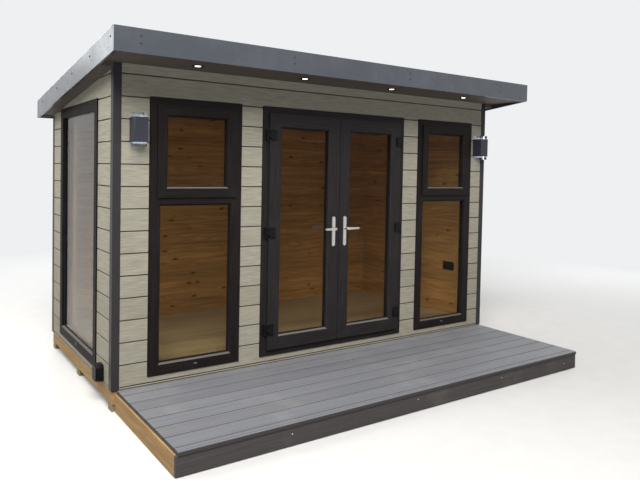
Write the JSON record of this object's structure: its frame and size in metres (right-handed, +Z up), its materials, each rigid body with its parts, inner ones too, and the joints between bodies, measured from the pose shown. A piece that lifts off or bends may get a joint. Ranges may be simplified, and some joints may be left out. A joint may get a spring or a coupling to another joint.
{
  "type": "garden office pod",
  "caption": "Pent-roofed garden room with outward French doors, full-height windows, composite cladding and a front deck; hollow inside, doors and lever handles move.",
  "frame": {"origin": "on the ground at the middle of the outline, roof overhangs and deck included", "axes": "+X runs along the front to the right as seen from the deck, +Y runs back through the building, +Z is up"},
  "size_m": [3.88, 2.935, 2.483],
  "materials": {
    "treated_timber": "rough sawn and pressure treated",
    "raw_timber": "bare sawn timber",
    "sheathing": "plain sheathed panel",
    "floor_boards": "satin sealed boards",
    "pine_lining": "warm pine boards, satin",
    "cladding_composite": "grey-olive composite with a brushed grain",
    "deck_composite": "mid-grey brushed composite",
    "deck_fascia": "dark grey composite",
    "anthracite_metal": "anthracite coated metal",
    "roof_rubber": "dull membrane",
    "soffit_board": "dark board",
    "frame_plastic": "near-black foil with a faint grain",
    "hinge_black": "black coated metal",
    "satin_steel": "satin",
    "clear_glass": "clear sealed units",
    "lamp_glass": "clear",
    "light_body": "dark coated metal",
    "downlight_bezel": "black satin ring",
    "black_plastic": "moulded black"
  },
  "bodies": {
    "building": {"base_bearers": "treated_timber", "floor_frame": "treated_timber", "floor_panel": "sheathing", "floor_boards": "floor_boards", "deck_joists": "raw_timber", "deck_boards": "deck_composite", "deck_fascia": "deck_fascia", "front_wall_sill": "sheathing", "front_wall_piers": "sheathing", "front_wall_head": "sheathing", "left_wall": "sheathing", "right_wall": "sheathing", "back_wall": "sheathing", "front_cladding": "cladding_composite", "left_cladding": "cladding_composite", "right_cladding": "cladding_composite", "back_cladding": "cladding_composite", "wall_linings": "pine_lining", "ceiling_lining": "pine_lining", "corner_trims": "anthracite_metal", "roof_panel": "sheathing", "roof_covering": "roof_rubber", "soffits": "soffit_board", "front_fascia": "anthracite_metal", "roof_verges": "anthracite_metal", "back_fascia": "anthracite_metal", "left_window_frame": "frame_plastic", "right_window_frame": "frame_plastic", "side_window_frame": "frame_plastic", "window_sashes": "frame_plastic", "window_glass": "clear_glass", "door_frame": "frame_plastic", "frame_hinges": "hinge_black", "wall_lights": "light_body", "wall_light_glasses": "lamp_glass", "downlights": "downlight_bezel", "cable_box": "black_plastic", "wall_socket": "black_plastic"},
    "left_door": {"left_leaf": "frame_plastic", "left_leaf_glass": "clear_glass", "left_leaf_hinges": "hinge_black", "left_handle_plates": "satin_steel"},
    "right_door": {"right_leaf": "frame_plastic", "right_leaf_glass": "clear_glass", "right_leaf_hinges": "hinge_black", "right_handle_plates": "satin_steel"},
    "left_handle": {"left_lever": "satin_steel"},
    "right_handle": {"right_lever": "satin_steel"}
  },
  "joints": [
    {"name": "left_door_hinge", "type": "hinge", "parent": "building", "child": "left_door", "pos_m": [-0.654, -0.4325, 1.172], "axis": [0, 0, -1], "range_deg": [0, 100]},
    {"name": "right_door_hinge", "type": "hinge", "parent": "building", "child": "right_door", "pos_m": [0.708, -0.4325, 1.172], "axis": [0, 0, 1], "range_deg": [0, 100]},
    {"name": "left_lever_turn", "type": "hinge", "parent": "left_door", "child": "left_handle", "pos_m": [-0.03, -0.4405, 1.172], "axis": [0, -1, 0], "range_deg": [-40, 40], "stiffness_Nm_per_rad": 1.5},
    {"name": "right_lever_turn", "type": "hinge", "parent": "right_door", "child": "right_handle", "pos_m": [0.084, -0.4405, 1.172], "axis": [0, 1, 0], "range_deg": [-40, 40], "stiffness_Nm_per_rad": 1.5}
  ]
}
